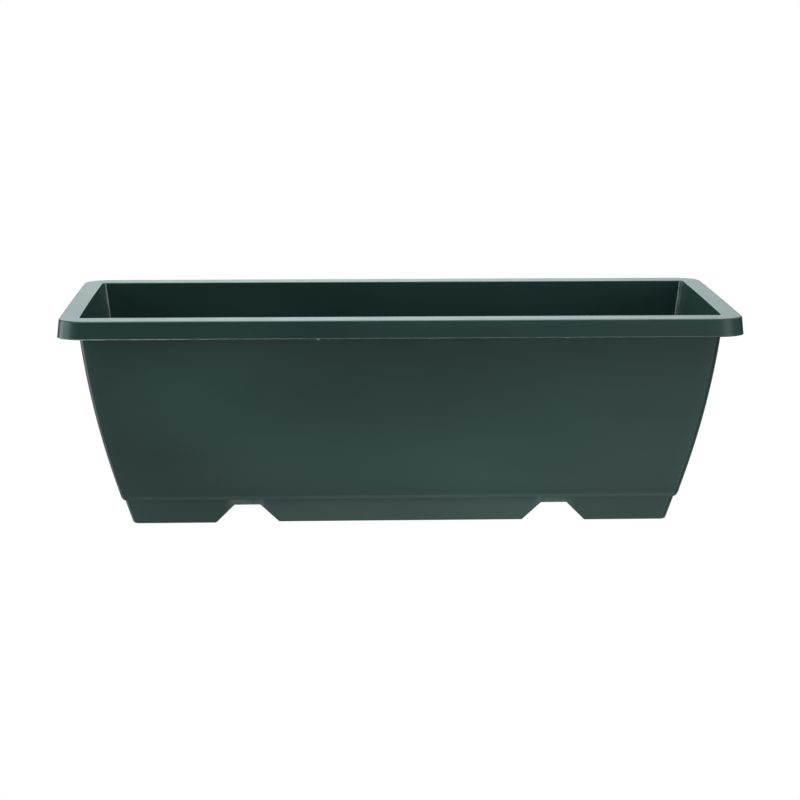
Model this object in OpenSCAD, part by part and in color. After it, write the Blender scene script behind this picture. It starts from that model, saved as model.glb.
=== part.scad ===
// Trough planter, used as a cachepot when its drain holes are plugged.
// One moulding with a turned-over rim, tapering walls and a hollow notched foot, and four pull-out plugs.
// Millimetres. +X runs along the trough, +Y to the back, +Z up, and the foot stands on z = 0.

/* [Overall] */
// Length over the rim's lower edge
overall_length = 500; // [400:1:800]
// Width over the rim's lower edge
overall_width = 172; // [140:1:260]
// Height from the ground to the top of the rim
overall_height = 158.5; // [110:0.5:240]

/* [Rim] */
// Width of the flat top flange, from the opening to the outer edge
rim_width = 14.4; // [9:0.1:22]
// Thickness of the flange
rim_thickness = 2; // [1.5:0.1:3]
// Height of the rim's hanging skirt, with the flange
skirt_height = 13.2; // [8:0.1:20]
// Thickness of the skirt
skirt_thickness = 1.8; // [1.2:0.1:3]
// How far the skirt's lower edge stands out past its top edge
skirt_flare = 1.4; // [0:0.1:3]
// How far the rim's outer corners reach along the trough, seen from above
rim_corner_length = 20; // [8:0.5:30]
// How far the rim's outer corners reach across the trough, seen from above
rim_corner_width = 13; // [8:0.5:30]
// Radius along the rim's upper outer edge
rim_edge_radius = 1.2; // [0.4:0.1:2]

/* [Walls] */
// Thickness of the four walls
wall_thickness = 2; // [1.5:0.1:3]
// Radius of the corners where the walls meet, outside
wall_corner_radius = 5; // [3.5:0.1:12]
// How far each end wall comes in from the rim down to the step
end_taper = 27.8; // [10:0.1:50]
// How far each long wall comes in from the rim down to the step
side_taper = 5.7; // [2:0.1:12]
// How far the end walls bulge past a straight taper
end_bow = 4.1; // [0:0.1:6]
// How far the long walls bulge past a straight taper
side_bow = 0.7; // [0:0.1:2]
// Radius along the walls' lower outer edge, above the foot
step_edge_radius = 1.6; // [0.5:0.1:1.7]

/* [Floor] */
// Thickness of the floor
floor_thickness = 2.4; // [1.6:0.1:4]
// Radius inside, where the walls meet the floor
floor_edge_radius = 3; // [1:0.1:6]

/* [Foot] */
// Height of the hollow foot, from the ground to the step
foot_height = 18.8; // [17:0.1:30]
// Thickness of the foot's wall
foot_thickness = 2; // [1.5:0.1:3]
// How far the foot stands back from the walls at the step
foot_inset = 1.7; // [1.7:0.1:5]
// Lean of the foot's ends from upright, in degrees
foot_end_draft = 17.2; // [5:0.1:25]
// Lean of the foot's long sides from upright, in degrees
foot_side_draft = 3.8; // [1:0.1:10]
// Radius of the foot's corners, seen from above
foot_corner_radius = 5; // [3.5:0.1:12]
// Radius along the foot's lower outer edge
foot_edge_radius = 1; // [0.4:0.1:1.4]
// How far the foot's long sides lean in, at the ground, between the notches
middle_lean = 1.7; // [0.5:0.1:3]

/* [Notches] */
// Length of each corner of the foot along the ground, from its end to the notch
corner_foot_length = 62.3; // [40:0.1:90]
// Width of a notch at its top
notch_top_width = 19.2; // [10:0.1:30]
// Height of a notch
notch_height = 14.2; // [8:0.1:16]
// Lean of a notch's sides from upright, in degrees
notch_side_angle = 44.5; // [20:0.5:50]
// Radius of a notch's corners
notch_corner_radius = 1.2; // [0.5:0.1:2]

/* [Drain holes] */
// Distance between the two drain holes that share a pair of notches, across the trough
drain_spacing = 64; // [48:1:80]
// Diameter of a drain hole
drain_diameter = 16; // [10:0.5:22]
// How far the collar round a drain hole hangs below the floor
collar_depth = 4; // [2:0.1:8]
// Thickness of the collar
collar_thickness = 2.5; // [1.5:0.1:4]

/* [Drain plugs] */
// Gap all round between a plug's stem and its hole
plug_clearance = 0.05; // [0.02:0.01:0.1]
// Gap between a plug's head and the floor
plug_seat_gap = 0.05; // [0.02:0.01:0.3]
// How far a plug's head stands out past its hole all round
plug_head_overlap = 5; // [3:0.5:8]
// Thickness of a plug's head
plug_head_thickness = 1.8; // [1.2:0.1:3]
// Thickness of a plug's hollow stem
plug_wall = 1.4; // [1:0.1:2.5]
// How far a plug's stem reaches below its collar
plug_overhang = 1; // [0.5:0.1:3]
// Width of the tab that pulls a plug out
tab_width = 13; // [8:0.5:18]
// Height of the tab above the plug's head
tab_height = 8; // [6:0.5:14]
// Thickness of the tab
tab_thickness = 2.4; // [1.5:0.1:4]
// Radius of the tab's upper corners
tab_corner_radius = 3.5; // [1:0.5:4]

/* [Smoothness] */
// Steps round each corner of the moulding
corner_steps = 7; // [4:1:10]
// Steps up the walls
wall_steps = 14; // [8:1:20]
// Steps round each small edge
edge_steps = 4; // [3:1:6]

/* [Hidden] */
$fn = 48;

trough_green = [0.20, 0.27, 0.26];
plug_black = [0.12, 0.13, 0.13];

// Overlap that makes joined shapes run into each other
bite = 0.6;
// The least radius left where an edge's rounding is taken from a corner's
least_radius = 0.4;

floor_top = foot_height + floor_thickness;
skirt_bottom = overall_height - skirt_height;
flange_bottom = overall_height - rim_thickness;
top_half_length = overall_length / 2 - skirt_flare - rim_width + wall_thickness;
top_half_width = overall_width / 2 - skirt_flare - rim_width + wall_thickness;
base_half_length = top_half_length - end_taper;
base_half_width = top_half_width - side_taper;

// Share of the way down from the top of the rim to the step
function fall(z) = (overall_height - z) / (overall_height - foot_height);

// Half of an outside size of the walls at a height: a straight taper with a parabola's bulge
function wall_half(z, top_half, taper, bow) = top_half - taper * fall(z) + 4 * bow * fall(z) * (1 - fall(z));
function wall_half_length(z) = wall_half(z, top_half_length, end_taper, end_bow);
function wall_half_width(z) = wall_half(z, top_half_width, side_taper, side_bow);

// Half of an outside size of the foot at a height
function foot_half(z, base_half, draft) = base_half - foot_inset - (foot_height - z) * tan(draft);
function foot_half_length(z) = foot_half(z, base_half_length, foot_end_draft);
function foot_half_width(z) = foot_half(z, base_half_width, foot_side_draft);

// Half of an outside size of the rim's skirt at a height
function skirt_half(z, size) = size / 2 - skirt_flare * (z - skirt_bottom) / skirt_height;

// A section through the moulding is a list of rows: [half length, half width, how far its corners
// reach along the trough, how far they reach across it, height]
function wall_row(z, inset) =
    let (radius = max(wall_corner_radius - inset, least_radius))
    [wall_half_length(z) - inset, wall_half_width(z) - inset, radius, radius, z];
function foot_row(z, inset) =
    let (radius = max(foot_corner_radius - inset, least_radius))
    [foot_half_length(z) - inset, foot_half_width(z) - inset, radius, radius, z];
function skirt_row(z, inset) =
    [skirt_half(z, overall_length) - inset, skirt_half(z, overall_width) - inset,
     max(rim_corner_length - inset, least_radius), max(rim_corner_width - inset, least_radius), z];

// The notches, and the drain holes behind them, lie this far from the trough's middle
notch_top_half = notch_top_width / 2;
notch_bottom_half = notch_top_half + notch_height * tan(notch_side_angle);
notch_place = foot_half_length(0) - corner_foot_length - notch_bottom_half;

// Angles of the steps round a quarter circle
quarter = [for (step = [0 : edge_steps]) 90 * step / edge_steps];

// The section runs from under the floor, down inside the foot, up the outside, over the rim, and
// down the inside to the floor
section = concat(
    [foot_row(foot_height, foot_thickness), foot_row(0, foot_thickness)],
    [for (a = quarter) foot_row(foot_edge_radius * (1 - cos(a)), foot_edge_radius * (1 - sin(a)))],
    [foot_row(foot_height, 0)],
    [for (a = quarter)
        wall_row(foot_height + step_edge_radius * (1 - cos(a)), step_edge_radius * (1 - sin(a)))],
    [for (step = [1 : wall_steps])
        wall_row(foot_height + step_edge_radius
                 + (flange_bottom - foot_height - step_edge_radius) * step / wall_steps, 0)],
    [skirt_row(flange_bottom, skirt_thickness), skirt_row(skirt_bottom, skirt_thickness)],
    [skirt_row(skirt_bottom, 0)],
    [for (a = quarter)
        skirt_row(overall_height - rim_edge_radius * (1 - sin(a)), rim_edge_radius * (1 - cos(a)))],
    [for (step = [0 : wall_steps])
        wall_row(overall_height + (floor_top + floor_edge_radius - overall_height) * step / wall_steps,
                 wall_thickness)],
    [for (i = [1 : edge_steps])
        wall_row(floor_top + floor_edge_radius * (1 - sin(quarter[i])),
                 wall_thickness + floor_edge_radius * (1 - cos(quarter[i])))]
);

// The points of one row, a rectangle with round corners, anticlockwise from above
function row_points(row) =
    [for (corner = [0 : 3], step = [0 : corner_steps])
        let (angle = 90 * (corner + step / corner_steps),
             side_x = corner == 0 || corner == 3 ? 1 : -1,
             side_y = corner < 2 ? 1 : -1)
        [side_x * (row[0] - row[2]) + row[2] * cos(angle),
         side_y * (row[1] - row[3]) + row[3] * sin(angle),
         row[4]]];

// The moulding's skin: a band of triangles from each row to the next, closed by the floor's two faces
module moulded_skin() {
    count = 4 * (corner_steps + 1);
    last = (len(section) - 1) * count;
    polyhedron(
        points = [for (row = section) each row_points(row)],
        faces = concat(
            [[for (i = [0 : count - 1]) i]],
            [for (r = [0 : len(section) - 2], i = [0 : count - 1], half = [0, 1])
                let (next = (i + 1) % count, low = r * count, high = low + count)
                half == 0 ? [low + i, high + i, high + next] : [low + i, high + next, low + next]],
            [[for (i = [count - 1 : -1 : 0]) last + i]]
        ),
        convexity = 6
    );
}

// What is cut out of a long side of the foot, seen from the front: two notches with round corners
module notch_outline() {
    offset(r = -notch_corner_radius) offset(delta = notch_corner_radius)
    offset(r = notch_corner_radius) offset(delta = -notch_corner_radius) {
        for (side = [-1, 1])
            translate([side * notch_place, 0])
                polygon([[-notch_bottom_half, 0], [notch_bottom_half, 0],
                         [notch_top_half, notch_height], [-notch_top_half, notch_height]]);
        translate([-overall_length / 2, -foot_height])
            square([overall_length, foot_height]);
    }
}

// A cut of both long sides of the foot takes nothing of what hangs from the floor between them
cut_outside = foot_half_width(foot_height) + bite;
cut_inside = foot_half_width(0) - foot_thickness - middle_lean - bite;

// Cuts the notches out of both long sides of the foot
module foot_notches() {
    for (side = [0, 1])
        mirror([0, side, 0])
            translate([0, cut_outside, 0])
                rotate([90, 0, 0])
                    linear_extrude(height = cut_outside - cut_inside) notch_outline();
}

// Cuts both long sides between the middles of the notches, up to the notches' height
module middle_cut() {
    for (side = [0, 1])
        mirror([0, side, 0])
            translate([-notch_place, cut_inside, -bite])
                cube([2 * notch_place, cut_outside - cut_inside, notch_height + bite]);
}

// Half of the width between the notches, outside: the foot's own, leaning in towards the ground
function middle_half_width(z) = foot_half_width(z) - middle_lean * (1 - z / notch_height);

// Fills both cuts with a wall that leans in, held by a tongue in the wall above it
module middle_stretch() {
    tongue = foot_thickness / 4;
    top = middle_half_width(notch_height);
    for (side = [0, 1])
        mirror([0, side, 0])
            rotate([90, 0, 90])
                linear_extrude(height = 2 * notch_place, center = true)
                    polygon(concat(
                        [for (a = quarter)
                            let (z = foot_edge_radius * (1 - cos(a)))
                            [middle_half_width(z) - foot_edge_radius * (1 - sin(a)), z]],
                        [[top, notch_height],
                         [top - tongue, notch_height], [top - tongue, notch_height + tongue],
                         [top - foot_thickness + tongue, notch_height + tongue],
                         [top - foot_thickness + tongue, notch_height],
                         [top - foot_thickness, notch_height],
                         [middle_half_width(0) - foot_thickness, 0]]
                    ));
}

// Puts its children at one drain hole
module at_drain(side_x, side_y) {
    translate([side_x * notch_place, side_y * drain_spacing / 2, 0]) children();
}

module trough() {
    color(trough_green)
    difference() {
        union() {
            difference() {
                union() {
                    difference() {
                        moulded_skin();
                        middle_cut();
                    }
                    middle_stretch();
                }
                foot_notches();
            }
            for (side_x = [-1, 1], side_y = [-1, 1])
                at_drain(side_x, side_y)
                    translate([0, 0, foot_height - collar_depth])
                        cylinder(h = collar_depth + floor_thickness / 2,
                                 d = drain_diameter + 2 * collar_thickness);
        }
        for (side_x = [-1, 1], side_y = [-1, 1])
            at_drain(side_x, side_y)
                translate([0, 0, foot_height - collar_depth - bite])
                    cylinder(h = collar_depth + floor_thickness + 2 * bite, d = drain_diameter);
    }
}

// The tab seen from the front, with its two upper corners round
module tab_outline() {
    straight = tab_height - tab_corner_radius;
    translate([-tab_width / 2, -bite])
        square([tab_width, straight + bite]);
    translate([tab_corner_radius - tab_width / 2, -bite])
        square([tab_width - 2 * tab_corner_radius, tab_height + bite]);
    for (side = [-1, 1])
        translate([side * (tab_width / 2 - tab_corner_radius), straight])
            circle(r = tab_corner_radius);
}

// A plug: a flat head that sits on the floor, a hollow stem in the hole, and a tab to pull it by
module drain_plug(side_x, side_y) {
    stem_radius = drain_diameter / 2 - plug_clearance;
    stem_length = floor_thickness + collar_depth + plug_overhang + plug_seat_gap;
    head_radius = drain_diameter / 2 + plug_head_overlap;
    bevel = plug_head_thickness / 3;
    color(plug_black)
    at_drain(side_x, side_y)
    translate([0, 0, floor_top + plug_seat_gap])
    difference() {
        union() {
            rotate_extrude()
                polygon([[0, -stem_length], [stem_radius - bevel, -stem_length],
                         [stem_radius, bevel - stem_length], [stem_radius, 0],
                         [head_radius, 0], [head_radius, plug_head_thickness - bevel],
                         [head_radius - bevel, plug_head_thickness], [0, plug_head_thickness]]);
            translate([0, tab_thickness / 2, plug_head_thickness])
                rotate([90, 0, 0])
                    linear_extrude(height = tab_thickness) tab_outline();
        }
        translate([0, 0, -stem_length - bite])
            cylinder(h = stem_length + bite, r = stem_radius - plug_wall);
    }
}

trough();
drain_plug(-1, -1);  // drain_plug_front_left
drain_plug(1, -1);  // drain_plug_front_right
drain_plug(-1, 1);  // drain_plug_back_left
drain_plug(1, 1);  // drain_plug_back_right
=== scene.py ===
import math

import bmesh
import bpy
import numpy as np
from mathutils import Matrix, Vector


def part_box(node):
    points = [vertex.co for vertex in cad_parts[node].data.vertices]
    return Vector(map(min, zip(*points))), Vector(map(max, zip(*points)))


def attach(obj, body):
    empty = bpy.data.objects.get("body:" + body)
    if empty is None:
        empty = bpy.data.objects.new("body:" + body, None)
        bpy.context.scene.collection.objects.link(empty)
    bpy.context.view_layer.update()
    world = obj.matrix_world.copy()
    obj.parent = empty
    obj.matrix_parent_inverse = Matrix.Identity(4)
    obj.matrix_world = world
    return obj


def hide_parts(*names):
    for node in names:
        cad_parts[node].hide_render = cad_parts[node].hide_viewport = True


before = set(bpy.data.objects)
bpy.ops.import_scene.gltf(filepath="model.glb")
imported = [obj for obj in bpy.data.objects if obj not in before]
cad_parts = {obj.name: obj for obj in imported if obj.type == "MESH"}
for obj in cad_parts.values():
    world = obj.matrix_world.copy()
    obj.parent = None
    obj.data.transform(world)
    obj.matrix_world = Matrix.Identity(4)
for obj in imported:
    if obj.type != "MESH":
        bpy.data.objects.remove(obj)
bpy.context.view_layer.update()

bl_info = {
    "name": "Trough cachepot",
    "version": (1, 0, 0),
    "blender": (4, 5, 0),
    "location": "3D View > Sidebar > Cachepot",
    "description": "Moulds a plastic trough and its drain plugs, and sets a plain studio",
    "category": "Object",
}

# One millimetre in Blender's metres
MM = 0.001

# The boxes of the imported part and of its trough, and the trough's size in millimetres
TROUGH_LOW, TROUGH_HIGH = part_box("trough")
TROUGH_SIZE = (TROUGH_HIGH - TROUGH_LOW) / MM

# Where nibs of flash hang from the front of the rim: millimetres along the trough, and size
NIBS = ((-61.1, 1.0), (-53.8, 0.35), (19.2, 0.3), (118.4, 0.4))

# The white surroundings as soft lobes: azimuth in degrees from the front towards +X, elevation,
# sharpness and brightness
LOBES = (
    (0, 88, 20, 5), (282, 22, 20, 3.5), (270, -16, 40, 3.5), (300, 8, 40, 3.5),
    (265, -5, 40, 3.5), (40, 8, 40, 3.08), (257, 22, 20, 2.32), (180, 22, 20, 1.69),
    (90, 60, 6, 1.54), (180, 40, 8, 1.47), (36, -42, 16, 1.26), (25, -28, 30, 0.86),
    (334, -28, 30, 0.86), (0, -42, 16, 0.82), (80, 8, 40, 0.73), (240, -60, 8, 0.6),
    (180, -60, 8, 0.6), (252, -42, 16, 0.6), (108, -42, 16, 0.6), (120, -60, 8, 0.6),
    (20, 8, 40, 0.55), (30, 60, 6, 0.36), (154, 22, 20, 0.28),
)

# Where in the noise the clouds of pigment lie, and where most of a noise's values lie
CLOUD_PLACE = (2.05, 10.004, 2.098)
NOISE_LOW, NOISE_HIGH = 0.3, 0.7

# How fine the trough is: steps of a rounded corner of its section, columns of its own corners and
# of a nib, steps of a quarter of the floor along its two middle lines, and rows of it round a hole
ARC_STEPS = 4
CORNER_COLUMNS = 13
NIB_COLUMNS = 5
MIDDLE_STEPS = (40, 14)
HOLE_ROWS = 8

# Steps of the plugs' rounded corners, steps round a plug and its tab, and rows of the tab
PLUG_ARC_STEPS = 5
PLUG_STEPS = 96
TAB_STEPS = 64
TAB_ROWS = 61

# The least reach of a rounded corner, and how near a share comes to 0 or 1 to count as it
SMALLEST_CORNER = 0.4 * MM
NEARLY = 0.001

# The stage in metres: the radii of its floor's rows, and the backdrop's radius and height
FLOOR_RADII = (0, 1, 12)
BACKDROP_RADIUS, BACKDROP_HEIGHT = 11.9, 20

# Each plug's node with the body that it rides on
PLUGS = {
    "drain_plug_front_left": "plug_front_left",
    "drain_plug_front_right": "plug_front_right",
    "drain_plug_back_left": "plug_back_left",
    "drain_plug_back_right": "plug_back_right",
}


# Properties

def length(name, millimetres, description):
    """A length that a user would change, given in millimetres and kept in metres."""
    return bpy.props.FloatProperty(
        name=name, description=description, default=millimetres * MM, min=0.0,
        precision=5, unit="LENGTH", subtype="DISTANCE")


def lean(name, degrees, description):
    """An angle that a user would change, given in degrees and kept in radians."""
    return bpy.props.FloatProperty(
        name=name, description=description, default=math.radians(degrees), precision=4,
        unit="ROTATION", subtype="ANGLE")


def share(name, value, description, highest=1.0):
    """A plain number from 0 to the highest that makes sense."""
    return bpy.props.FloatProperty(
        name=name, description=description, default=value, min=0.0, max=highest, precision=3)


def linear(hex_colour):
    """An sRGB hex colour as linear red, green and blue.

    Each channel c is c / 12.92 up to 0.04045, and ((c + 0.055) / 1.055) ** 2.4 above it.
    """
    srgb = np.array([int(hex_colour[i:i + 2], 16) for i in (1, 3, 5)]) / 255
    return tuple(np.where(srgb <= 0.04045, srgb / 12.92, ((srgb + 0.055) / 1.055) ** 2.4))


def colour(name, hex_colour, description):
    """A colour that a user would change, given as sRGB hex and kept linear."""
    return bpy.props.FloatVectorProperty(
        name=name, description=description, default=linear(hex_colour), min=0.0, max=1.0,
        size=3, subtype="COLOR")


class TroughSizes(bpy.types.PropertyGroup):
    """Sizes of the moulded trough."""
    length: length("Length", TROUGH_SIZE.x, "Length over the rim's lower edge")
    width: length("Width", TROUGH_SIZE.y, "Width over the rim's lower edge")
    height: length("Height", TROUGH_SIZE.z, "Height from the ground to the top of the rim")

    rim_width: length("Rim width", 14.4, "Width of the flat top flange")
    rim_thickness: length("Rim thickness", 2, "Thickness of the flange")
    rim_corner_length: length("Rim corner length", 20, "How far its corners reach along the trough")
    rim_corner_width: length("Rim corner width", 13, "How far its corners reach across the trough")
    rim_edge_radius: length("Rim edge radius", 1.2, "Radius along the rim's upper outer edge")
    rim_lip_radius: length("Rim lip radius", 0.7, "Radius along the edge of the opening")
    rim_bow: length("Rim bow", 0.5, "How far the ends bow out at their middle, seen from above")
    skirt_height: length("Skirt height", 13.2, "Height of the rim's hanging skirt")
    skirt_thickness: length("Skirt thickness", 1.8, "Thickness of the skirt")
    skirt_flare: length("Skirt flare", 1.4, "How far the skirt's lower edge stands out")
    flash_height: length("Flash height", 0.5, "Height of the flash along the skirt's lower edge")
    flash_depth: length("Flash depth", 0.15, "How far the flash stands out of the skirt")
    nib_radius: length("Nib radius", 1.1, "Half of the width of a nib of flash")
    nib_depth: length("Nib depth", 0.7, "How far the largest nib hangs below the skirt")

    wall_thickness: length("Wall thickness", 2, "Thickness of the four walls")
    wall_corner_radius: length("Wall corner radius", 5, "Radius where the walls meet, outside")
    opening_radius: length("Opening radius", 3, "Radius where the walls meet, inside")
    end_taper: length("End taper", 27.8, "How far each end comes in from the rim to the step")
    side_taper: length("Side taper", 5.7, "How far each long wall comes in from the rim to the step")
    end_bow: length("End bulge", 4.1, "How far the ends bulge past a straight taper")
    side_bow: length("Side bulge", 0.7, "How far the long walls bulge past a straight taper")
    step_height: length("Step height", 2.6, "Height of the slope along the walls' lower edge")
    step_depth: length("Step depth", 0.55, "How far that slope comes in, above the foot")
    step_radius: length("Step radius", 2.5, "Radius where that slope begins")
    hem_height: length("Hem height", 6.2, "Height of the swollen hem round the foot of the walls")
    hem_depth: length("Hem depth", 0.12, "How far the hem swells out, where the floor meets the walls")

    floor_thickness: length("Floor thickness", 2.4, "Thickness of the floor")
    floor_edge_radius: length("Floor edge radius", 3, "Radius where the walls meet the floor")

    foot_height: length("Foot height", 18.8, "Height from the ground to the step")
    foot_thickness: length("Foot thickness", 2, "Thickness of the foot's wall")
    foot_inset: length("Foot inset", 1.7, "How far the foot stands back from the walls")
    foot_end_draft: lean("Foot end draft", 17.2, "Lean of the foot's ends from upright")
    foot_side_draft: lean("Foot side draft", 3.8, "Lean of the foot's long sides from upright")
    foot_corner_radius: length("Foot corner radius", 5, "Radius of the foot's corners from above")
    foot_edge_radius: length("Foot edge radius", 0.9, "Radius along the foot's lower outer edge")
    middle_lean: length("Middle lean", 1.7, "How far the foot leans in between its notches")

    corner_foot_length: length("Corner foot length", 62.3, "Length of each corner of the foot")
    notch_top_width: length("Notch top width", 19.2, "Width of a notch at its top")
    notch_height: length("Notch height", 14.2, "Height of a notch")
    notch_side_angle: lean("Notch side angle", 44.5, "Lean of a notch's sides from upright")
    notch_corner_radius: length("Notch corner radius", 1.2, "Radius of a notch's corners")

    drain_diameter: length("Drain diameter", 16, "Diameter of a drain hole")
    collar_depth: length("Collar depth", 4, "How far the collar hangs below the floor")
    collar_thickness: length("Collar thickness", 2.5, "Thickness of a drain hole's collar")

    # The flash's paleness is partly real paler thin flash and partly a painted highlight, made
    # brighter towards the left end and in the nibs
    flash_paleness_and_highlight: share("Flash paleness", 0.12, "How pale the skirt's lower edge is")
    flash_highlight_slant: share("Flash slant", 0.06, "How much paler it is at the left end than half way")
    flash_left_highlight: share("Flash left paleness", 0.6, "How much paler its last stretch is")
    flash_left_start: share("Flash left start", 0.45, "Share of the half length where that begins")
    flash_left_blend: share("Flash left blend", 0.4, "Share of the half length that it grows over")
    # A painted glow over the notches, standing in for light shining through the thin strips from
    # behind
    notch_painted_glow: share("Notch paleness", 0.2, "How pale the strips over the notches are")
    # Painted light in the inner corners: a faint painted reflection over their arcs, and a painted
    # highlight line where an arc meets the long wall
    corner_painted_reflection: share("Corner paleness", 0.12, "How pale the polished inner corners are")
    corner_line_painted_highlight: share("Corner line paleness", 2.5, "How pale the line in them is", 4.0)
    corner_line_start: lean("Corner line start", 72, "How far round the corner that line begins")

    inner_radius: length("Inner radius", 0.8, "Radius in the small corners that face inwards")
    blunt_radius: length("Blunt radius", 0.35, "Radius along edges that the mould left sharp")
    facet: length("Facet", 6, "The longest side of a face along and up the walls")


class PlugSizes(bpy.types.PropertyGroup):
    """Sizes of a drain plug."""
    stem_radius: length("Stem radius", 7.95, "Radius of the stem that fills the drain hole")
    stem_wall: length("Stem wall", 1.4, "Thickness of the hollow stem")
    stem_bevel: length("Stem bevel", 0.6, "Bevel that leads the stem into its hole")
    head_radius: length("Head radius", 13, "Radius of the head that lies on the floor")
    head_thickness: length("Head thickness", 1.8, "Thickness of the head")
    head_edge_radius: length("Head edge radius", 0.6, "Radius along the head's edges")
    tab_width: length("Tab width", 13, "Width of the tab that pulls the plug")
    tab_height: length("Tab height", 8, "Height of the tab above the head")
    tab_thickness: length("Tab thickness", 2.4, "Thickness of the tab over its ribs")
    tab_corner_radius: length("Tab corner radius", 3.5, "Radius of the tab's upper corners")
    tab_root_radius: length("Tab root radius", 1, "Radius where the tab grows out of the head")
    rib_pitch: length("Rib pitch", 1.6, "Distance between the tab's grip ribs")
    rib_depth: length("Rib depth", 0.25, "How far each grip rib stands out")
    facet: length("Facet", 2, "The longest side of a face across and up the plug")


class Finish(bpy.types.PropertyGroup):
    """Colours and gloss of the two plastics."""
    trough_colour: colour("Trough", "#314a46", "Green polypropylene, where the melt is paler")
    trough_shade: colour("Trough flow shade", "#1d312d", "Where the flow left more pigment")
    # This pale colour is partly the flash's own and partly painted light: the painted highlight along
    # the flash, the painted glow over the notches and the painted reflection in the inner corners
    flash_and_painted_light_colour: colour("Flash", "#aab5b1", "Thin flash, which lets light through")
    trough_roughness: share("Trough roughness", 0.296, "Roughness of the moulded skin")
    trough_patches: share("Trough patches", 0.02, "How much rougher or smoother its patches are")
    plug_colour: colour("Plug", "#191b1b", "Carbon black in the polyethylene")
    plug_shade: colour("Plug shade", "#232525", "Its paler, waxy bloom")
    plug_roughness: share("Plug roughness", 0.5, "Roughness of the plug's skin")
    plug_patches: share("Plug patches", 0.06, "How much rougher or smoother its patches are")


class Studio(bpy.types.PropertyGroup):
    """The camera and the light, as the photograph has them."""
    camera_place: bpy.props.FloatVectorProperty(
        name="Camera place", description="Where the lens is", size=3,
        default=(-0.05852, -1.29849, 0.40762), precision=5, unit="LENGTH", subtype="TRANSLATION")
    camera_pitch: lean("Camera pitch", 14.2285, "How far the camera looks down")
    camera_yaw: lean("Camera yaw", -1.976, "How far the camera turns about upright")
    camera_roll: lean("Camera roll", -0.113, "How far the camera leans about its own line of sight")
    lens: share("Lens", 77.625, "Focal length in millimetres on a 36 mm sensor", 500.0)
    lens_shift: share("Lens shift", 0.025, "How far the photograph's frame lies off the lens's axis")
    glow: share("Glow", 1.013, "Brightness of the white surroundings", 10.0)
    glow_colour: colour("Glow colour", "#eefeff", "Cool white of the surroundings")


# Paths and grids

def rounded(corners, radii, steps):
    """A path of straight stretches with its inner corners rounded, as an array of rows.

    A row is any number of columns, and its last two are where it lies in the section: across and
    up. Between the unit directions u and v from a corner to its neighbours lies the angle turn.
    An arc of radius r touches both at t = r / tan(turn / 2), and its centre is
    c (u + v) with c = t / (1 + cos(turn)). The point at share s of the arc is
    centre + a (t u - centre) + b (t v - centre), with a = sin((1 - s) w) / sin(w),
    b = sin(s w) / sin(w) and w = pi - turn. One more row on each side, a third of a radius
    further out, keeps the shading of the flat stretches flat.
    """
    corners = np.asarray(corners, float)
    here, before, after = corners[1:-1], corners[:-2], corners[2:]
    to_before, to_after = before - here, after - here
    far_before = np.linalg.norm(to_before[:, -2:], axis=1)
    far_after = np.linalg.norm(to_after[:, -2:], axis=1)
    u, v = to_before[:, -2:] / far_before[:, None], to_after[:, -2:] / far_after[:, None]
    # Kept off 1 and -1, where sin(w) would be 0
    cosine = np.clip((u * v).sum(1), -0.9999, 0.9999)
    turn = np.arccos(cosine)
    touch = np.asarray(radii) / np.tan(turn / 2)
    centre = touch / (1 + cosine)
    w = np.pi - turn
    s = np.linspace(0, 1, steps + 1)[None, :]
    a = np.sin((1 - s) * w[:, None]) / np.sin(w)[:, None]
    b = np.sin(s * w[:, None]) / np.sin(w)[:, None]
    lost = centre[:, None] * (1 - a - b)
    along_u, along_v = lost + a * touch[:, None], lost + b * touch[:, None]
    guard = (touch + np.asarray(radii) / 3)[:, None]
    none = np.zeros_like(guard)
    along_u = np.hstack([guard, along_u, none]) / far_before[:, None]
    along_v = np.hstack([none, along_v, guard]) / far_after[:, None]
    arcs = (here[:, None] + along_u[..., None] * to_before[:, None]
            + along_v[..., None] * to_after[:, None])
    return np.vstack([corners[:1], arcs.reshape(-1, corners.shape[1]), corners[-1:]])


def subdivided(path, longest):
    """The path with each step of length d cut into ceil(d / longest) equal steps."""
    steps = np.diff(path, axis=0)
    pieces = np.ceil(np.linalg.norm(steps[:, -2:], axis=1) / longest).astype(int).clip(1)
    start = np.repeat(np.arange(len(steps)), pieces)
    first = np.repeat(np.cumsum(pieces) - pieces, pieces)
    along = (np.arange(pieces.sum()) - first) / pieces[start]
    return np.vstack([path[start] + along[:, None] * steps[start], path[-1:]])


def together(*columns):
    """Numbers and arrays, spread to one shape and put side by side along a new last axis."""
    return np.stack(np.broadcast_arrays(*columns), axis=-1)


def smooth(x):
    """0 up to 0, 1 from 1 on, and 3 x^2 - 2 x^3 between."""
    x = np.clip(x, 0, 1)
    return x * x * (3 - 2 * x)


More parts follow.
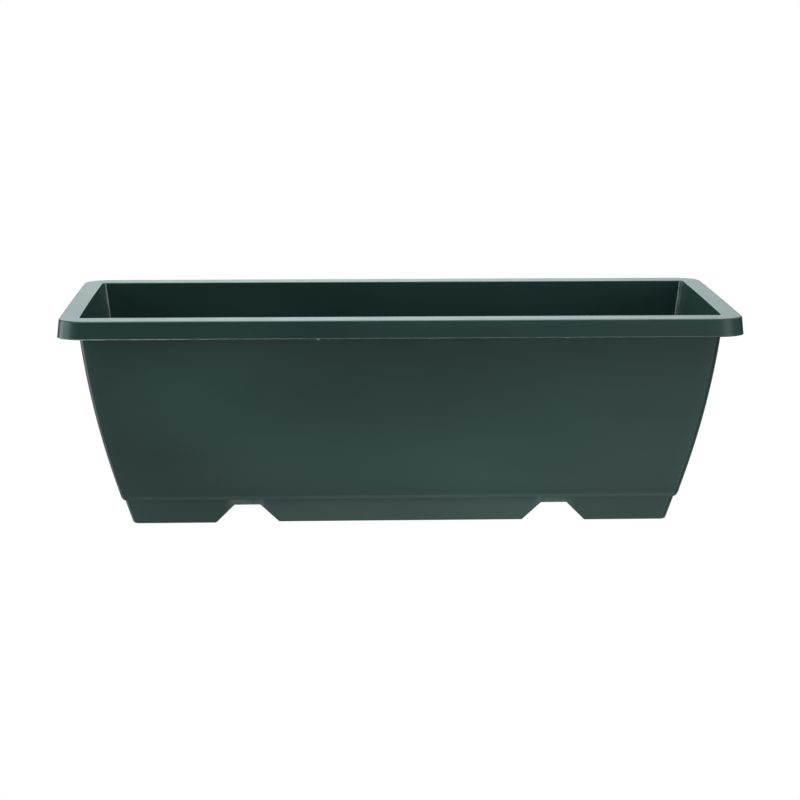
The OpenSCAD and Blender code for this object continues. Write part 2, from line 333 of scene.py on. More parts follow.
def surface_mesh(name, grids):
    """One closed mesh from grids of points, each (rows, columns, 3), welded where they meet.

    Face (i, j) of a grid joins its points (i, j), (i, j + 1), (i + 1, j + 1) and (i + 1, j).
    A fourth number of a point is its paleness, which the mesh keeps as an attribute.
    Points nearer than a micrometre become one, which closes seams and poles, and the normals are
    then turned outwards.
    """
    points, faces, count = [], [], 0
    for grid in grids:
        rows, columns = grid.shape[:2]
        index = count + np.arange(rows * columns).reshape(rows, columns)
        corners = [index[:-1, :-1], index[:-1, 1:], index[1:, 1:], index[1:, :-1]]
        faces.append(np.stack(corners, axis=-1).reshape(-1, 4))
        points.append(grid.reshape(rows * columns, -1))
        count += rows * columns
    points = np.concatenate(points)
    mesh = bpy.data.meshes.new(name)
    mesh.from_pydata(points[:, :3], [], np.concatenate(faces))
    if points.shape[1] == 4:
        mesh.attributes.new("pale", "FLOAT", "POINT").data.foreach_set("value", points[:, 3])
    welded = bmesh.new()
    welded.from_mesh(mesh)
    bmesh.ops.remove_doubles(welded, verts=welded.verts, dist=MM / 1000)
    bmesh.ops.dissolve_degenerate(welded, edges=welded.edges, dist=MM / 10000)
    bmesh.ops.recalc_face_normals(welded, faces=welded.faces)
    welded.to_mesh(mesh)
    welded.free()
    mesh.polygons.foreach_set("use_smooth", np.ones(len(mesh.polygons), bool))
    return mesh


def add_piece(name, mesh, body, node, material):
    """A finished piece: it stands for its node, rides on its body and wears its material."""
    piece = bpy.data.objects.new(name, mesh)
    bpy.context.scene.collection.objects.link(piece)
    mesh.materials.clear()
    mesh.materials.append(material)
    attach(piece, body)
    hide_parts(node)
    return piece


# The trough's section

def fall(s, z):
    """Share of the way down from the top of the rim to the step."""
    return (s.height - z) / (s.height - s.foot_height)


def row(half_length, half_width, reach, radius, z, on_wall=0.0, pale=0.0):
    """A row of the section: its rounded rectangle, its share of the walls' bulge and its paleness.

    The rectangle's corners are quarter ellipses that reach along the trough by reach and across it
    by radius. The row's last two numbers are its place in the section, across and up.
    """
    return [half_length, max(reach, SMALLEST_CORNER), max(radius, SMALLEST_CORNER), on_wall, pale,
            half_width, z]


def wall_row(s, z, inset=0.0, pale=0.0):
    """A row on the four walls, inset from their outside: a straight taper from the rim to the step."""
    rim = s.skirt_flare + s.rim_width - s.wall_thickness + inset
    radius = s.wall_corner_radius
    radius -= inset * (s.wall_corner_radius - s.opening_radius) / s.wall_thickness
    return row(s.length / 2 - rim - s.end_taper * fall(s, z),
               s.width / 2 - rim - s.side_taper * fall(s, z), radius, radius, z, 1.0, pale)


def foot_row(s, z, inset=0.0, pale=0.0):
    """A row on the foot, inset from its outside: it stands back from the walls and leans in below."""
    at_step = wall_row(s, s.foot_height, s.foot_inset + inset)
    down = s.foot_height - z
    radius = s.foot_corner_radius - inset
    return row(at_step[0] - down * math.tan(s.foot_end_draft),
               at_step[-2] - down * math.tan(s.foot_side_draft), radius, radius, z, pale=pale)


def skirt_row(s, z, inset=0.0, pale=0.0):
    """A row on the rim's skirt, inset from its outside, which leans in towards the top."""
    rise = z - (s.height - s.skirt_height)
    inward = s.skirt_flare * rise / s.skirt_height + inset
    return row(s.length / 2 - inward, s.width / 2 - inward, s.rim_corner_length - inset,
               s.rim_corner_width - inset, z, pale=pale)


def trough_section(s):
    """The moulding's section, from under the floor, round the foot and the rim, to the floor.

    It is a path of straight stretches with rounded corners, cut into short steps.
    """
    floor_top = s.foot_height + s.floor_thickness
    flange_bottom = s.height - s.rim_thickness
    skirt_bottom = s.height - s.skirt_height
    apron = 2 * s.floor_edge_radius
    # Rows marked pale=1 later get paler flash and painted light: a painted glow on the foot over the
    # notches, a painted highlight along the skirt's flash, a painted reflection in the inner corners
    corners = [
        (foot_row(s, s.foot_height, s.foot_thickness + apron), 0),
        (foot_row(s, s.foot_height, s.foot_thickness), s.inner_radius),
        (foot_row(s, 0, s.foot_thickness), s.blunt_radius),
        (foot_row(s, 0, pale=1), s.foot_edge_radius),
        (foot_row(s, s.foot_height, pale=1), s.blunt_radius),
        (wall_row(s, s.foot_height, s.step_depth), s.blunt_radius),
        (wall_row(s, s.foot_height + s.step_height), s.step_radius),
        (wall_row(s, flange_bottom), s.inner_radius),
        (skirt_row(s, flange_bottom, s.skirt_thickness), s.inner_radius),
        (skirt_row(s, skirt_bottom, s.skirt_thickness), s.blunt_radius),
        (skirt_row(s, skirt_bottom, pale=1), s.flash_depth),
        (skirt_row(s, skirt_bottom + s.flash_height, pale=1), s.flash_depth / 3),
        (skirt_row(s, skirt_bottom + s.flash_height + s.flash_depth, s.flash_depth),
         s.flash_depth / 3),
        (skirt_row(s, s.height, s.flash_depth), s.rim_edge_radius),
        (wall_row(s, s.height, s.wall_thickness, pale=1), s.rim_lip_radius),
        (wall_row(s, floor_top, s.wall_thickness, pale=1), s.floor_edge_radius),
        (wall_row(s, floor_top, s.wall_thickness + apron), 0),
    ]
    rows, radii = zip(*corners)
    return subdivided(rounded(rows, radii[1:-1], ARC_STEPS), s.facet)


def notch_bottom_half(s):
    """Half of the width of a notch at the ground."""
    return s.notch_top_width / 2 + s.notch_height * math.tan(s.notch_side_angle)


def notch_place(s):
    """How far the notches, and the drain holes behind them, lie from the trough's middle."""
    return foot_row(s, 0)[0] - s.corner_foot_length - notch_bottom_half(s)


def notch_line(s):
    """The foot's lower edge, corner to middle, as rows of [distance from the middle, height]."""
    place = notch_place(s)
    top_half, bottom_half = s.notch_top_width / 2, notch_bottom_half(s)
    corners = [
        (foot_row(s, 0)[0] - s.foot_corner_radius, 0),
        (place + bottom_half, 0),
        (place + top_half, s.notch_height),
        (place - top_half, s.notch_height),
        (place - bottom_half, 0),
        (0, 0),
    ]
    line = subdivided(rounded(corners, [s.notch_corner_radius] * 4, ARC_STEPS), s.facet)
    # More columns go across each nib of flash, at the line's height there
    across = np.linspace(-1, 1, NIB_COLUMNS) * s.nib_radius
    places = np.concatenate([abs(nib_x) * MM + across for nib_x, _ in NIBS])
    heights = np.interp(places, line[::-1, 0], line[::-1, 1])
    line = np.vstack([line, together(places, heights)])
    return line[np.argsort(-line[:, 0])]


def columns_round(s):
    """The columns that go round the trough, anticlockwise from the middle of the right end.

    A column is [place along the half length at the ground, share of the way from the end's middle
    to the corner, cosine and sine of the corner's turn, side in X, side in Y, height of the foot's
    lower edge, share of the lean between the notches]. A quarter is mirrored to the other three.
    """
    line = notch_line(s)
    corner = np.radians(np.linspace(0, 90, CORNER_COLUMNS))
    half_end = s.width / 2 - s.rim_corner_width
    across = np.linspace(0, 1, math.ceil(half_end / s.facet) + 1)[:-1]
    end = line[0, 0]
    place, height = line[1:].T
    middle = smooth((notch_place(s) + s.notch_top_width / 2 - place) / s.notch_top_width)
    quarter = np.vstack([
        together(end, across, 1, 0, 0, 0),
        together(end, 1, np.cos(corner), np.sin(corner), 0, 0),
        together(place, 1, 0, 1, height, middle),
    ])

    def side(points, side_x, side_y):
        """The quarter's columns on one side in X and one in Y."""
        signs = np.tile([side_x, side_y], (len(points), 1))
        return np.hstack([points[:, :4], signs, points[:, 4:]])

    return np.vstack([
        side(quarter[:-1], 1, 1), side(quarter[:0:-1], -1, 1),
        side(quarter[:-1], -1, -1), side(quarter[:0:-1], 1, -1), side(quarter[:1], 1, 1),
    ])


def nibs_of_flash(s, x, side_y):
    """How far each point hangs as a nib, as a share of the largest nib's depth.

    A nib of radius r at x = n, on the front alone, has size * sqrt(1 - ((x - n) / r) ** 2).
    """
    nib = 0 * x
    for nib_x, size in NIBS:
        off = (x - nib_x * MM) / s.nib_radius
        nib += size * np.sqrt(np.clip(1 - off ** 2, 0, 1)) * (side_y < 0)
    return nib


def paleness(s, to_left, nib, on_foot, on_skirt, on_wall, columns):
    """How pale a row that is marked as pale is, on the foot, on the skirt or on a wall.

    The foot's thin strips over its notches get a painted glow, standing in for light that shines
    through them from behind. The skirt's flash is partly paler thin flash and partly a painted
    highlight, brighter towards the trough's left end and brightest in its nibs:
    flash + (1 - flash) nib. A wall gets a faint painted reflection in its inner corners, and most
    of all a painted highlight in a line where such a corner's arc meets the long wall.
    """
    _, _, cosine, sine, _, _, edge, _ = columns.T
    # Painted glow of light through the thin strips over the notches
    over_notch = s.notch_painted_glow * smooth(2 * edge / s.notch_height - 1)
    # Partly paler flash, partly a painted highlight, brighter to the left and in the nibs
    flash = s.flash_paleness_and_highlight + s.flash_highlight_slant * to_left
    flash += s.flash_left_highlight * smooth((to_left - s.flash_left_start) / s.flash_left_blend)
    on_flash = on_skirt * (flash + (1 - flash) * nib.clip(0, 1))
    # Painted reflection over the inner corners, and a painted highlight line in them
    on_arc = (sine > NEARLY) & (cosine > NEARLY)
    on_line = on_arc & (sine > math.sin(s.corner_line_start))
    in_corner = np.where(on_line, s.corner_line_painted_highlight, s.corner_painted_reflection * on_arc)
    return np.where(on_wall > 1 - NEARLY, in_corner, np.where(on_foot, over_notch, on_flash))


def trough_skin(s, section, columns):
    """S(row, column): the section's rounded rectangles, carried round the columns.

    The foot's rows are lifted by the lower edge's height, all of it near the ground and none at
    the step. A point is side * (straight + (reach cosine, radius sine)), where straight is the
    half length less the reach, or the half width less the radius. Near the middle a column keeps
    its place along X at every height, and past the notches it moves out with the corner. The
    walls bulge by 4 bow f (1 - f) at the share f of the way down, and swell by the hem at their
    foot. Between the notches the foot leans in towards the ground. Each end bows out towards its
    middle. The nibs hang from the flash along the skirt's lower edge.
    """
    half_length, reach, radius, on_wall, pale, half_width, z = np.split(section, 7, axis=1)
    place, across, cosine, sine, side_x, side_y, edge, middle = columns.T
    on_foot = z <= s.foot_height
    on_skirt = ~on_foot & (z < s.height - s.skirt_height / 2) & (on_wall < NEARLY)
    keep = s.foot_edge_radius + s.blunt_radius
    lift = edge * np.clip((s.foot_height - keep - z) / (s.foot_height - 2 * keep), 0, 1)
    z = z + lift
    half_length = half_length + lift * math.tan(s.foot_end_draft)
    half_width = half_width + lift * math.tan(s.foot_side_draft)
    down = fall(s, z)
    bulge = 4 * down * (1 - down) * on_wall
    hem = s.hem_depth * on_wall * smooth(
        (s.foot_height + s.hem_height - z) / (s.hem_height - s.step_height))
    half_length = half_length + s.end_bow * bulge + hem
    half_width = half_width + s.side_bow * bulge + hem
    leaning = s.middle_lean * middle * np.clip(1 - z / s.notch_height, 0, 1)

    # From here outwards the columns move out with the corner
    settled = notch_place(s) + notch_bottom_half(s) + s.facet
    end = columns[0, 0]
    spread = (half_length - reach - settled) / (end - settled)
    along = np.where(place > settled, settled + (place - settled) * spread, place)
    x = side_x * (along + reach * cosine)
    y = side_y * (across * (half_width - radius) + radius * sine - leaning)
    x = x * (1 - s.rim_bow / half_length * (z / s.height) * (y / half_width) ** 2)
    nib = nibs_of_flash(s, x, side_y)
    z = z - s.nib_depth * nib * pale * on_skirt
    # This paleness is paler flash together with painted light, as paleness() sets it
    pale = pale * paleness(s, -x / half_length, nib, on_foot, on_skirt, on_wall, columns)
    return together(x, y, z, pale)


def floor_cell(loop, side_x, side_y, hole, radius):
    """One quarter of a flat floor with a round hole: P(t, i) = circle + t (boundary - circle).

    The boundary is the loop's points in that quarter and the two lines back along the floor's
    middle. Each of its points looks at the hole's centre, and the circle's point lies on that
    line. Returns the grid and the angles of its columns.
    """
    quarter = loop[(loop[:, 0] * side_x >= -MM / 1000) & (loop[:, 1] * side_y >= -MM / 1000)]
    turn = np.arctan2(side_y * quarter[:, 1], side_x * quarter[:, 0])
    _, first = np.unique(np.round(turn, 9), return_index=True)
    quarter = quarter[first]
    z = quarter[0, 2]
    half_x, half_y = abs(quarter[0, 0]), abs(quarter[-1, 1])
    back_x = np.linspace(0, half_x, MIDDLE_STEPS[0] + 1)[1:]
    back_y = np.linspace(half_y, 0, MIDDLE_STEPS[1] + 1)[1:]
    boundary = np.vstack([
        quarter, together(0, side_y * back_y, z), together(side_x * back_x, 0, z)])
    centre = np.array([side_x * hole[0], side_y * hole[1], z])
    angles = np.unwrap(np.arctan2(boundary[:, 1] - centre[1], boundary[:, 0] - centre[0]))
    circle = centre + radius * together(np.cos(angles), np.sin(angles), 0)
    t = (np.linspace(0, 1, HOLE_ROWS) ** 2)[:, None, None]
    return circle + t * (boundary - circle), angles


def drain_collar(s, centre, floor_turn, under_turn):
    """A drain hole with its collar, from the floor down and out to the floor's underside.

    It is a profile of [share of the way from the floor to the underside, radius, height] turned
    about the hole. The columns keep the angles of the floor's cell at the top and those of the
    underside's cell at the bottom, and blend between them.
    """
    floor_top = s.foot_height + s.floor_thickness
    hole = s.drain_diameter / 2
    outside = hole + s.collar_thickness
    bottom = s.foot_height - s.collar_depth
    corners = [
        (0, hole + 2 * s.blunt_radius, floor_top),
        (0, hole, floor_top),
        (0.5, hole, bottom),
        (0.8, outside, bottom),
        (1, outside, s.foot_height),
        (1, outside + 2 * s.inner_radius, s.foot_height),
    ]
    radii = [s.blunt_radius, s.blunt_radius, s.blunt_radius, s.inner_radius]
    blend, radius, z = np.split(rounded(corners, radii, ARC_STEPS - 1), 3, axis=1)
    angle = floor_turn + blend * (under_turn - floor_turn)
    return together(centre[0] + radius * np.cos(angle), centre[1] + radius * np.sin(angle), z)


def trough_grids(s):
    """Every grid of the trough: its skin, and the floor's four quarters above, below and between."""
    section, columns = trough_section(s), columns_round(s)
    skin = trough_skin(s, section, columns)
    floor_edge, underside_edge = skin[-1, :, :3], skin[0, :, :3]
    hole_radius = s.drain_diameter / 2 + 2 * s.blunt_radius
    collar_radius = s.drain_diameter / 2 + s.collar_thickness + 2 * s.inner_radius
    # The holes are as far from the trough's middle line as the plugs are
    hole = (notch_place(s), abs(sum(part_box("drain_plug_front_left"), Vector()).y) / 2)
    grids = [skin]
    for side_x in (-1, 1):
        for side_y in (-1, 1):
            above, turn_above = floor_cell(floor_edge, side_x, side_y, hole, hole_radius)
            below, turn_below = floor_cell(underside_edge, side_x, side_y, hole, collar_radius)
            centre = (side_x * hole[0], side_y * hole[1])
            collar = drain_collar(s, centre, turn_above, turn_below)
            grids += [np.pad(grid, ((0, 0), (0, 0), (0, 1))) for grid in (above, below, collar)]
    return grids


# The drain plugs

def turned(profile, steps):
    """A profile of [radius, height] turned about Z: (r cos a, r sin a, z)."""
    angle = np.linspace(0, 2 * np.pi, steps + 1)
    radius, z = np.split(profile, 2, axis=1)
    return together(radius * np.cos(angle), radius * np.sin(angle), z)


def plug_body(p, stem_length):
    """The plug's head and hollow stem, with the underside of its head at z = 0."""
    bore = p.stem_radius - p.stem_wall
    top = p.head_thickness
    bevel = p.stem_bevel
    corners = [
        (0, 0), (bore, 0), (bore, -stem_length), (p.stem_radius - bevel, -stem_length),
        (p.stem_radius, bevel - stem_length), (p.stem_radius, 0), (p.head_radius, 0),
        (p.head_radius, top), (0, top),
    ]
    small, edge = p.head_edge_radius / 3, p.head_edge_radius
    radii = [edge, small, small, small, small, small, edge]
    return turned(subdivided(rounded(corners, radii, PLUG_ARC_STEPS), p.facet), PLUG_STEPS)


def plug_tab(p):
    """The tab: an oval section of half width a and half thickness b carried up.

    Section: (a sign(cos) |cos|^0.25, b sign(sin) |sin|^0.5). a is the tab's half width, rounded
    by a circle at the upper corners. b swells into the head by a quarter circle at the root,
    ripples with the grip ribs, and closes by a quarter ellipse at the top. The rows lie closer
    towards the top, at 1 - (1 - t)^1.5 of the height, and the lowest two lie inside the head.
    """
    rise = np.linspace(0, 1, TAB_ROWS)[:, None]
    z = p.tab_height * (1 - (1 - rise) ** 1.5)
    corner = np.clip(z - (p.tab_height - p.tab_corner_radius), 0, None)
    drawn_in = p.tab_corner_radius - np.sqrt(np.clip(p.tab_corner_radius ** 2 - corner ** 2, 0, None))
    a = p.tab_width / 2 - drawn_in
    root = p.tab_root_radius
    swell = root - np.sqrt(np.clip(root ** 2 - np.clip(root - z, 0, None) ** 2, 0, None))
    ribbed = smooth((z - root) / root) * smooth((p.tab_height - p.tab_corner_radius / 2 - z) / root)
    ripple = p.rib_depth * (1 - np.cos(2 * np.pi * (z - root) / p.rib_pitch)) / 2 * ribbed
    crown = np.clip(z - (p.tab_height - p.tab_thickness / 2), 0, None) / (p.tab_thickness / 2)
    b = (p.tab_thickness / 2 - p.rib_depth + ripple) * np.sqrt(np.clip(1 - crown ** 2, 0, 1))
    a, b = a + swell, b + swell
    centre, sunk = [[0.0]], [[-p.head_thickness / 2]]
    a, b = np.vstack([centre, a[:1], a]), np.vstack([centre, b[:1], b])
    z = np.vstack([sunk, sunk, z]) + p.head_thickness
    angle = np.linspace(0, 2 * np.pi, TAB_STEPS + 1)
    x = a * np.sign(np.cos(angle)) * np.abs(np.cos(angle)) ** 0.25
    y = b * np.sign(np.sin(angle)) * np.abs(np.sin(angle)) ** 0.5
    return together(x, y, z)


def joined(name, first, second):
    """The union of two closed meshes, as a new mesh whose edges over 35 degrees stay sharp."""
    whole = bpy.data.objects.new(name, first)
    other = bpy.data.objects.new(name + "_tool", second)
    for thing in (whole, other):
        bpy.context.scene.collection.objects.link(thing)
    union = whole.modifiers.new("Union", "BOOLEAN")
    union.operation, union.solver, union.object = "UNION", "EXACT", other
    evaluated = whole.evaluated_get(bpy.context.evaluated_depsgraph_get())
    mesh = bpy.data.meshes.new_from_object(evaluated)
    for thing in (whole, other):
        bpy.data.objects.remove(thing)
    for used in (first, second):
        bpy.data.meshes.remove(used)
    mesh.name = name
    mesh.polygons.foreach_set("use_smooth", np.ones(len(mesh.polygons), bool))
    mesh.set_sharp_from_angle(angle=math.radians(35))
    return mesh


# Materials

def add_node(tree, kind, settings=None, inputs=None):
    """Adds a node. settings are its own properties; an input is a value, or a socket to link."""
    node = tree.nodes.new(kind)
    for name, value in (settings or {}).items():
        setattr(node, name, value)
    for name, value in (inputs or {}).items():
        if isinstance(value, bpy.types.NodeSocket):
            tree.links.new(value, node.inputs[name])
        else:
            node.inputs[name].default_value = value
    return node


def moulded_polypropylene(finish):
    """Injection-moulded polypropylene, pigmented dark green in the melt.

    The mould's steel leaves an even satin skin. The melt ran along the trough from the middle, so
    its pigment lies in soft clouds and long faint streaks, and the skin is very slightly wavy.
    """
    material = bpy.data.materials.new("injection_moulded_polypropylene_green")
    material.use_nodes = True
    tree = material.node_tree
    shader = tree.nodes["Principled BSDF"]
    place = add_node(tree, "ShaderNodeTexCoord").outputs["Object"]
    # Clouds of pigment are about 200 mm long and 110 mm high. They change over 725 mm across the
    # trough, so both long walls are much alike
    spread = add_node(tree, "ShaderNodeMapping", inputs={
        "Vector": place, "Scale": (1 / (200 * MM), 1 / (725 * MM), 1 / (110 * MM)),
        "Location": CLOUD_PLACE})
    clouds = add_node(tree, "ShaderNodeTexNoise", inputs={
        "Vector": spread.outputs["Vector"], "Scale": 1.0, "Detail": 1.0})
    # Streaks are about 90 mm long and 12 mm high, and count 0.12 of what the clouds do
    stretched = add_node(tree, "ShaderNodeMapping", inputs={
        "Vector": place, "Scale": (1 / (90 * MM), 1 / (40 * MM), 1 / (12 * MM))})
    streaks = add_node(tree, "ShaderNodeTexNoise", inputs={
        "Vector": stretched.outputs["Vector"], "Scale": 1.0, "Detail": 2.0})
    flow = add_node(tree, "ShaderNodeMath", {"operation": "MULTIPLY_ADD"}, {
        0: streaks.outputs["Fac"], 1: 0.12, 2: clouds.outputs["Fac"]})
    # That sum lies mostly between 0.3 and 0.8, so neither colour often stands alone
    melt = add_node(tree, "ShaderNodeMapRange", inputs={
        "Value": flow.outputs["Value"], "From Min": 0.26, "From Max": 0.86})
    pigment = add_node(tree, "ShaderNodeMix", {"data_type": "RGBA"}, {
        "Factor": melt.outputs["Result"],
        "A": (*finish.trough_shade, 1), "B": (*finish.trough_colour, 1)})
    # Marked points turn towards a pale colour: thin flash that is really paler, and painted light
    # besides: a painted highlight along the flash and its nibs, a painted glow over the notches, and a
    # painted reflection and highlight line in the inner corners. Every 8 mm or so that fades to about
    # a third
    stretches = add_node(tree, "ShaderNodeTexNoise", inputs={
        "Vector": place, "Scale": 1 / (8 * MM), "Detail": 2.0})
    thickness = add_node(tree, "ShaderNodeMapRange", inputs={
        "Value": stretches.outputs["Fac"], "From Min": 0.4, "From Max": 0.6,
        "To Min": 0.35, "To Max": 1.0})
    pale = add_node(tree, "ShaderNodeAttribute", {"attribute_name": "pale"})
    how_pale = add_node(tree, "ShaderNodeMath", {"operation": "MULTIPLY"}, {
        0: pale.outputs["Fac"], 1: thickness.outputs["Result"]})
    body = add_node(tree, "ShaderNodeMix", {"data_type": "RGBA"}, {
        "Factor": how_pale.outputs["Value"], "A": pigment.outputs["Result"],
        "B": (*finish.flash_and_painted_light_colour, 1)})
    tree.links.new(body.outputs["Result"], shader.inputs["Base Color"])
    # The skin's gloss varies over patches of about 25 mm
    patches = add_node(tree, "ShaderNodeTexNoise", inputs={
        "Vector": place, "Scale": 1 / (25 * MM), "Detail": 1.0})
    gloss = add_node(tree, "ShaderNodeMapRange", inputs={
        "Value": patches.outputs["Fac"], "From Min": NOISE_LOW, "From Max": NOISE_HIGH,
        "To Min": finish.trough_roughness - finish.trough_patches,
        "To Max": finish.trough_roughness + finish.trough_patches})
    tree.links.new(gloss.outputs["Result"], shader.inputs["Roughness"])
    # A fine grain of 0.6 mm, under the size of a pixel, on waves of 90 mm
    grain = add_node(tree, "ShaderNodeTexNoise", inputs={
        "Vector": place, "Scale": 1 / (0.6 * MM), "Detail": 2.0})
    waves = add_node(tree, "ShaderNodeTexNoise", inputs={
        "Vector": place, "Scale": 1 / (90 * MM), "Detail": 0.0})
    wavy = add_node(tree, "ShaderNodeBump", inputs={
        "Height": waves.outputs["Fac"], "Strength": 1.0, "Distance": 0.8 * MM})
    grainy = add_node(tree, "ShaderNodeBump", inputs={
        "Height": grain.outputs["Fac"], "Strength": 0.12, "Distance": 0.05 * MM,
        "Normal": wavy.outputs["Normal"]})
    tree.links.new(grainy.outputs["Normal"], shader.inputs["Normal"])
    shader.inputs["IOR"].default_value = 1.49
    return material


def moulded_polyethylene(finish):
    """Injection-moulded low-density polyethylene, black, soft enough to seal, with a waxy bloom."""
    material = bpy.data.materials.new("injection_moulded_polyethylene_black")
    material.use_nodes = True
    tree = material.node_tree
    shader = tree.nodes["Principled BSDF"]
    place = add_node(tree, "ShaderNodeTexCoord").outputs["Object"]
    # Bloom lies in patches of about 6 mm
    bloom = add_node(tree, "ShaderNodeTexNoise", inputs={
        "Vector": place, "Scale": 1 / (6 * MM), "Detail": 4.0})
    tint = add_node(tree, "ShaderNodeMix", {"data_type": "RGBA"}, {
        "Factor": bloom.outputs["Fac"],
        "A": (*finish.plug_colour, 1), "B": (*finish.plug_shade, 1)})
    tree.links.new(tint.outputs["Result"], shader.inputs["Base Color"])
    gloss = add_node(tree, "ShaderNodeMapRange", inputs={
        "Value": bloom.outputs["Fac"], "From Min": NOISE_LOW, "From Max": NOISE_HIGH,
        "To Min": finish.plug_roughness - finish.plug_patches,
        "To Max": finish.plug_roughness + finish.plug_patches})
    tree.links.new(gloss.outputs["Result"], shader.inputs["Roughness"])
    grain = add_node(tree, "ShaderNodeTexNoise", inputs={
        "Vector": place, "Scale": 1 / (0.5 * MM), "Detail": 2.0})
    bump = add_node(tree, "ShaderNodeBump", inputs={
        "Height": grain.outputs["Fac"], "Strength": 0.2, "Distance": 0.05 * MM})
    tree.links.new(bump.outputs["Normal"], shader.inputs["Normal"])
    shader.inputs["IOR"].default_value = 1.51
    return material


# The studio

def place_camera(context, studio):
    """The photograph's camera: its lens, where it stands, and how it's turned.

    It starts level, looking along +Y, then leans about its line of sight, looks down and turns
    about upright.
    """
    camera = bpy.data.objects.new("camera", bpy.data.cameras.new("camera"))
    context.scene.collection.objects.link(camera)
    camera.data.lens = studio.lens
    camera.data.sensor_width = 36.0
    camera.data.shift_x = studio.lens_shift
    camera.data.clip_start, camera.data.clip_end = 0.01, 100.0
    camera.matrix_world = (
        Matrix.Translation(studio.camera_place)
        @ Matrix.Rotation(studio.camera_yaw, 4, "Z")
        @ Matrix.Rotation(-studio.camera_pitch, 4, "X")
        @ Matrix.Rotation(studio.camera_roll, 4, "Y")
        @ Matrix.Rotation(math.radians(90), 4, "X"))
    context.scene.camera = camera


def light_surroundings(context, studio):
    """The white surroundings: the sum of brightness * max(0, direction . axis) ** sharpness."""
    world = bpy.data.worlds.new("studio")
    world.use_nodes = True
    tree = world.node_tree
    direction = add_node(tree, "ShaderNodeTexCoord").outputs["Generated"]
    total = 0.0
    for azimuth, elevation, sharpness, brightness in LOBES:
        across, up = math.radians(azimuth), math.radians(elevation)
        axis = (math.cos(up) * math.sin(across), -math.cos(up) * math.cos(across), math.sin(up))
        facing = add_node(tree, "ShaderNodeVectorMath", {"operation": "DOT_PRODUCT"}, {
            0: direction, 1: axis}).outputs["Value"]
        lit = add_node(tree, "ShaderNodeMath", {"operation": "MAXIMUM"}, {0: facing, 1: 0.0})
        lobe = add_node(tree, "ShaderNodeMath", {"operation": "POWER"}, {
            0: lit.outputs[0], 1: sharpness})
        total = add_node(tree, "ShaderNodeMath", {"operation": "MULTIPLY_ADD"}, {
            0: lobe.outputs[0], 1: brightness * studio.glow, 2: total}).outputs[0]
    tree.links.new(total, tree.nodes["Background"].inputs["Strength"])
    tree.nodes["Background"].inputs["Color"].default_value = (*studio.glow_colour, 1)
    context.scene.world = world


def lay_stage(context, name, profile):
    """A round piece of the stage, turned from a profile of [radius, height].

    It is white paper, lit until it is blown out to pure white, and only the camera sees it: the
    trough is lit by the surroundings alone.
    """
    material = bpy.data.materials.new(name + "_paper")
    material.use_nodes = True
    shader = material.node_tree.nodes["Principled BSDF"]
    shader.inputs["Base Color"].default_value = (0, 0, 0, 1)
    shader.inputs["Roughness"].default_value = 1.0
    shader.inputs["Specular IOR Level"].default_value = 0.0
    shader.inputs["Emission Color"].default_value = (1, 1, 1, 1)
    shader.inputs["Emission Strength"].default_value = 1.0
    mesh = surface_mesh(name, [turned(np.asarray(profile, float), 64)])
    mesh.materials.append(material)
    piece = bpy.data.objects.new(name, mesh)
    context.scene.collection.objects.link(piece)
    for ray in ("diffuse", "glossy", "transmission", "volume_scatter", "shadow"):
        setattr(piece, "visible_" + ray, False)


# Operators

class CACHEPOT_OT_mould_trough(bpy.types.Operator):
    """Mould the trough as one closed skin, from its sizes"""
    bl_idname = "cachepot.mould_trough"
    bl_label = "Mould the trough"

    def execute(self, context):
        sizes = context.scene.cachepot_trough
        mesh = surface_mesh("trough_moulding", trough_grids(sizes))
        add_piece("trough_moulding", mesh, "trough", "trough",
                  moulded_polypropylene(context.scene.cachepot_finish))
        return {"FINISHED"}


class CACHEPOT_OT_mould_plugs(bpy.types.Operator):
    """Mould the four drain plugs, each where its node lies"""
    bl_idname = "cachepot.mould_plugs"
    bl_label = "Mould the drain plugs"

    def execute(self, context):
        sizes = context.scene.cachepot_plug
        material = moulded_polyethylene(context.scene.cachepot_finish)
        for node, body in PLUGS.items():
            low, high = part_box(node)
            seat = high.z - sizes.tab_height - sizes.head_thickness
            plug = joined("moulded_" + node,
                          surface_mesh("plug_body", [plug_body(sizes, seat - low.z)]),
                          surface_mesh("plug_tab", [plug_tab(sizes)]))
            middle = (low + high) / 2
            plug.transform(Matrix.Translation((middle.x, middle.y, seat)))
            add_piece("moulded_" + node, plug, body, node, material)
        return {"FINISHED"}


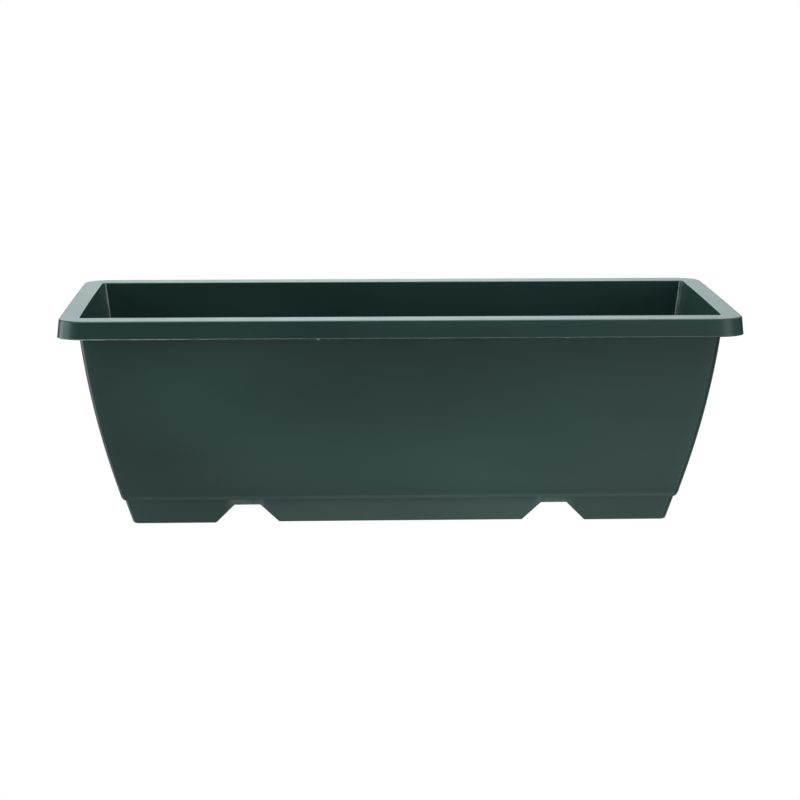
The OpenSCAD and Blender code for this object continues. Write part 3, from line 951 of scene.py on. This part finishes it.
class CACHEPOT_OT_set_studio(bpy.types.Operator):
    """Set the camera, the white floor and the soft light"""
    bl_idname = "cachepot.set_studio"
    bl_label = "Set the studio"

    def execute(self, context):
        studio = context.scene.cachepot_studio
        context.scene.view_settings.view_transform = "Standard"
        place_camera(context, studio)
        light_surroundings(context, studio)
        lay_stage(context, "studio_floor", [(radius, 0) for radius in FLOOR_RADII])
        lay_stage(context, "studio_backdrop",
                  [(BACKDROP_RADIUS, 0), (BACKDROP_RADIUS, BACKDROP_HEIGHT)])
        return {"FINISHED"}


class CACHEPOT_PT_panel(bpy.types.Panel):
    """The cachepot's sizes and operators"""
    bl_idname = "CACHEPOT_PT_panel"
    bl_label = "Trough cachepot"
    bl_space_type = "VIEW_3D"
    bl_region_type = "UI"
    bl_category = "Cachepot"

    def draw(self, context):
        column = self.layout.column()
        for operator in OPERATORS:
            column.operator(operator.bl_idname)
        for settings in (context.scene.cachepot_trough, context.scene.cachepot_plug,
                         context.scene.cachepot_finish, context.scene.cachepot_studio):
            box = self.layout.box()
            for name in settings.__annotations__:
                box.prop(settings, name)


OPERATORS = (CACHEPOT_OT_mould_trough, CACHEPOT_OT_mould_plugs, CACHEPOT_OT_set_studio)
SETTINGS = {
    "cachepot_trough": TroughSizes,
    "cachepot_plug": PlugSizes,
    "cachepot_finish": Finish,
    "cachepot_studio": Studio,
}


def register():
    """Registers the classes, and puts the settings on the scene."""
    for made in (*SETTINGS.values(), *OPERATORS, CACHEPOT_PT_panel):
        bpy.utils.register_class(made)
    for name, settings in SETTINGS.items():
        setattr(bpy.types.Scene, name, bpy.props.PointerProperty(type=settings))


def unregister():
    """Takes the settings and the classes away again."""
    for name in SETTINGS:
        delattr(bpy.types.Scene, name)
    for made in reversed((*SETTINGS.values(), *OPERATORS, CACHEPOT_PT_panel)):
        bpy.utils.unregister_class(made)


def main():
    """Makes every piece and the stage."""
    register()
    bpy.ops.cachepot.mould_trough()
    bpy.ops.cachepot.mould_plugs()
    bpy.ops.cachepot.set_studio()


if __name__ == "__main__":
    main()
